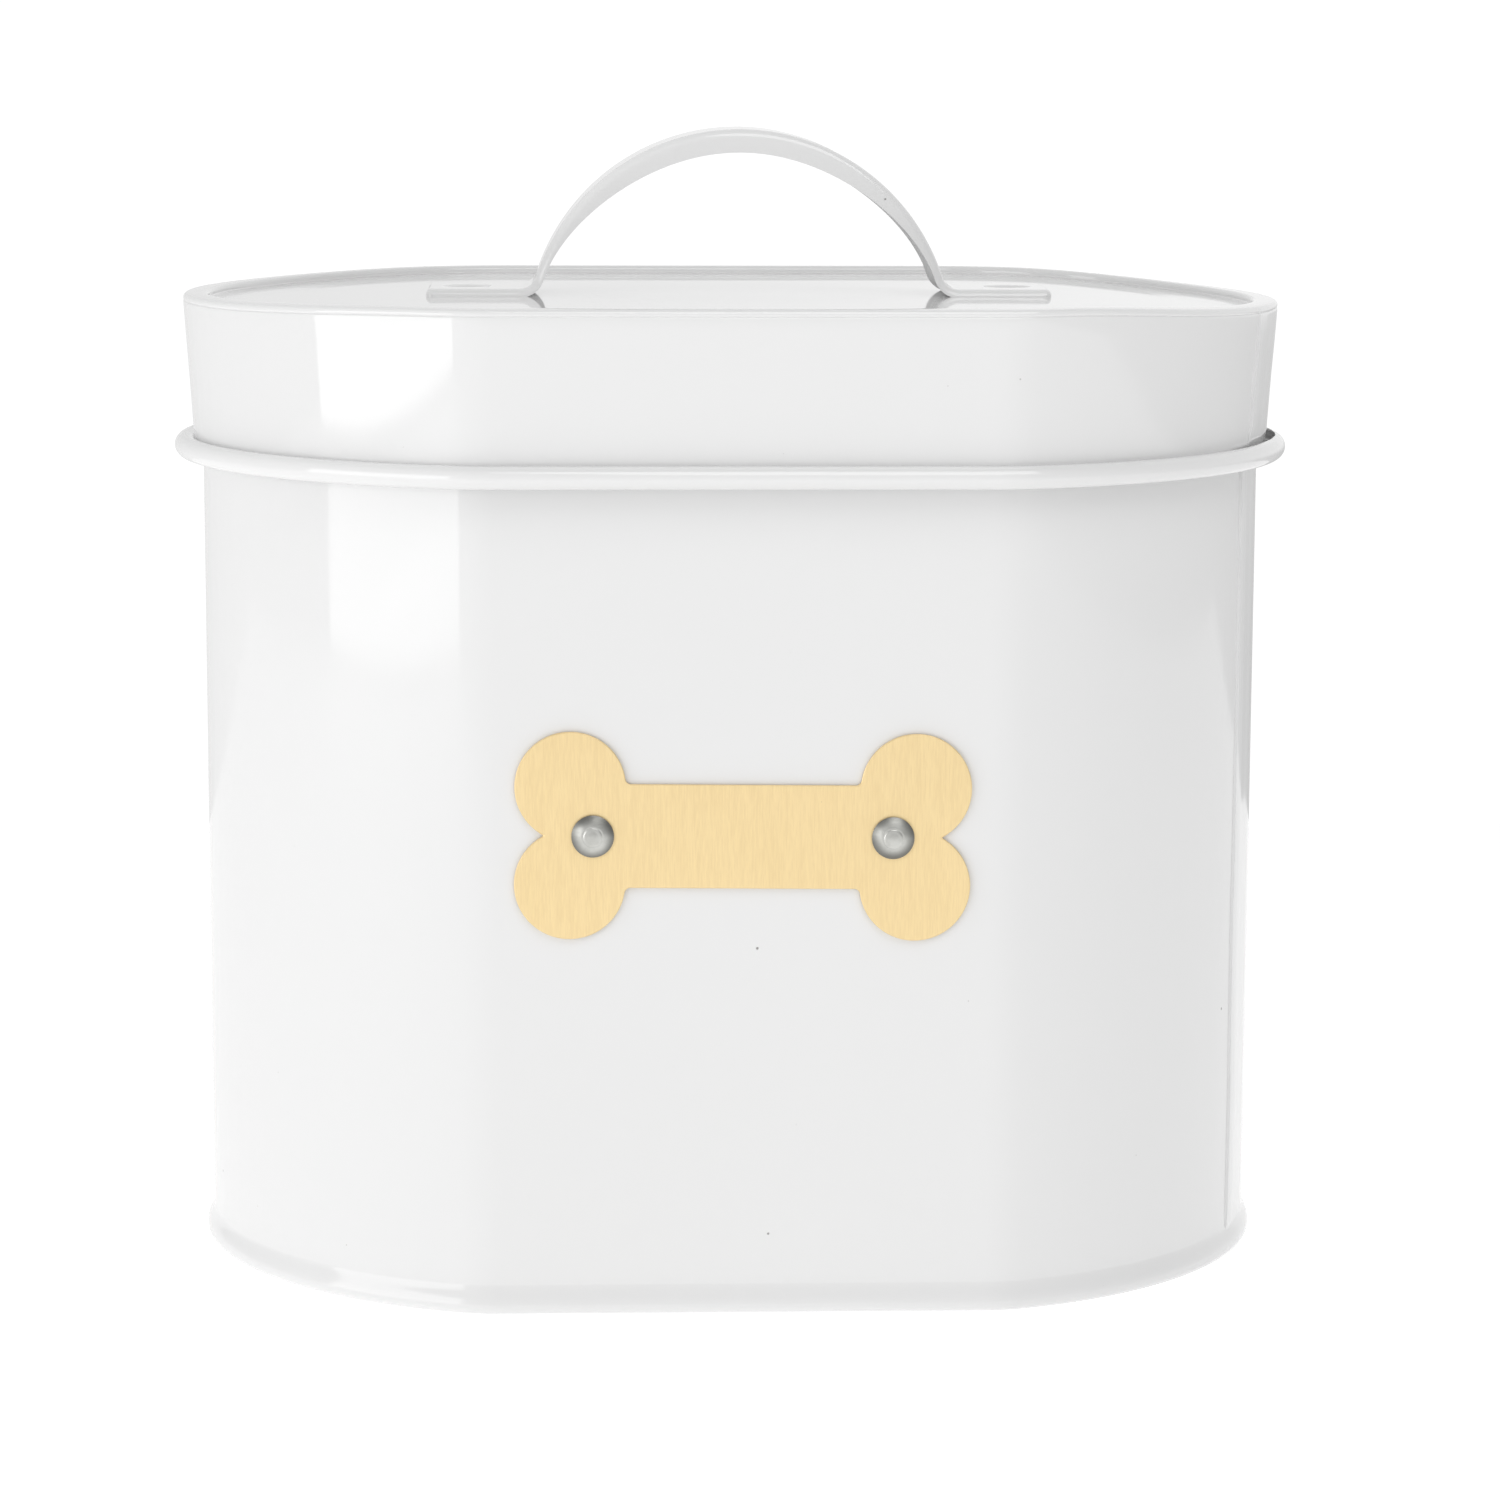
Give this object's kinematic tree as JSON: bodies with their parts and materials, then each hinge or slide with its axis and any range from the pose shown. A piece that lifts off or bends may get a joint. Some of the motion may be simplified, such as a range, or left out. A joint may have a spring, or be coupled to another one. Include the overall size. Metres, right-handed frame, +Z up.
{
  "type": "pet food bin",
  "caption": "Oval enamelled steel pet food bin with a slip-on lid, a strap handle on the lid and a bone-shaped brass badge riveted to the front.",
  "frame": {"origin": "on the floor under the middle of the bin", "axes": "+Z up, +X along the oval's long side, -Y out of the front with the bone badge"},
  "size_m": [0.2634, 0.1834, 0.264],
  "materials": {
    "bin_enamel": "glossy white enamel on sheet steel",
    "lid_enamel": "glossy white enamel on sheet steel",
    "brass_plate": "pale brass sheet, fine vertical brushed grain, clear lacquer",
    "rivet_steel": "dull domed steel rivet head"
  },
  "bodies": {
    "bin": {"body_wall": "bin_enamel", "base_panel": "bin_enamel", "bone_plate": "brass_plate", "rivet_left": "rivet_steel", "rivet_right": "rivet_steel"},
    "lid": {"lid_skirt": "lid_enamel", "lid_top_panel": "lid_enamel", "handle_strap": "lid_enamel"}
  },
  "joints": [
    {"name": "lid_lift", "type": "slide", "parent": "bin", "child": "lid", "axis": [0, 0, 1], "range_m": [0, 0.12]}
  ]
}
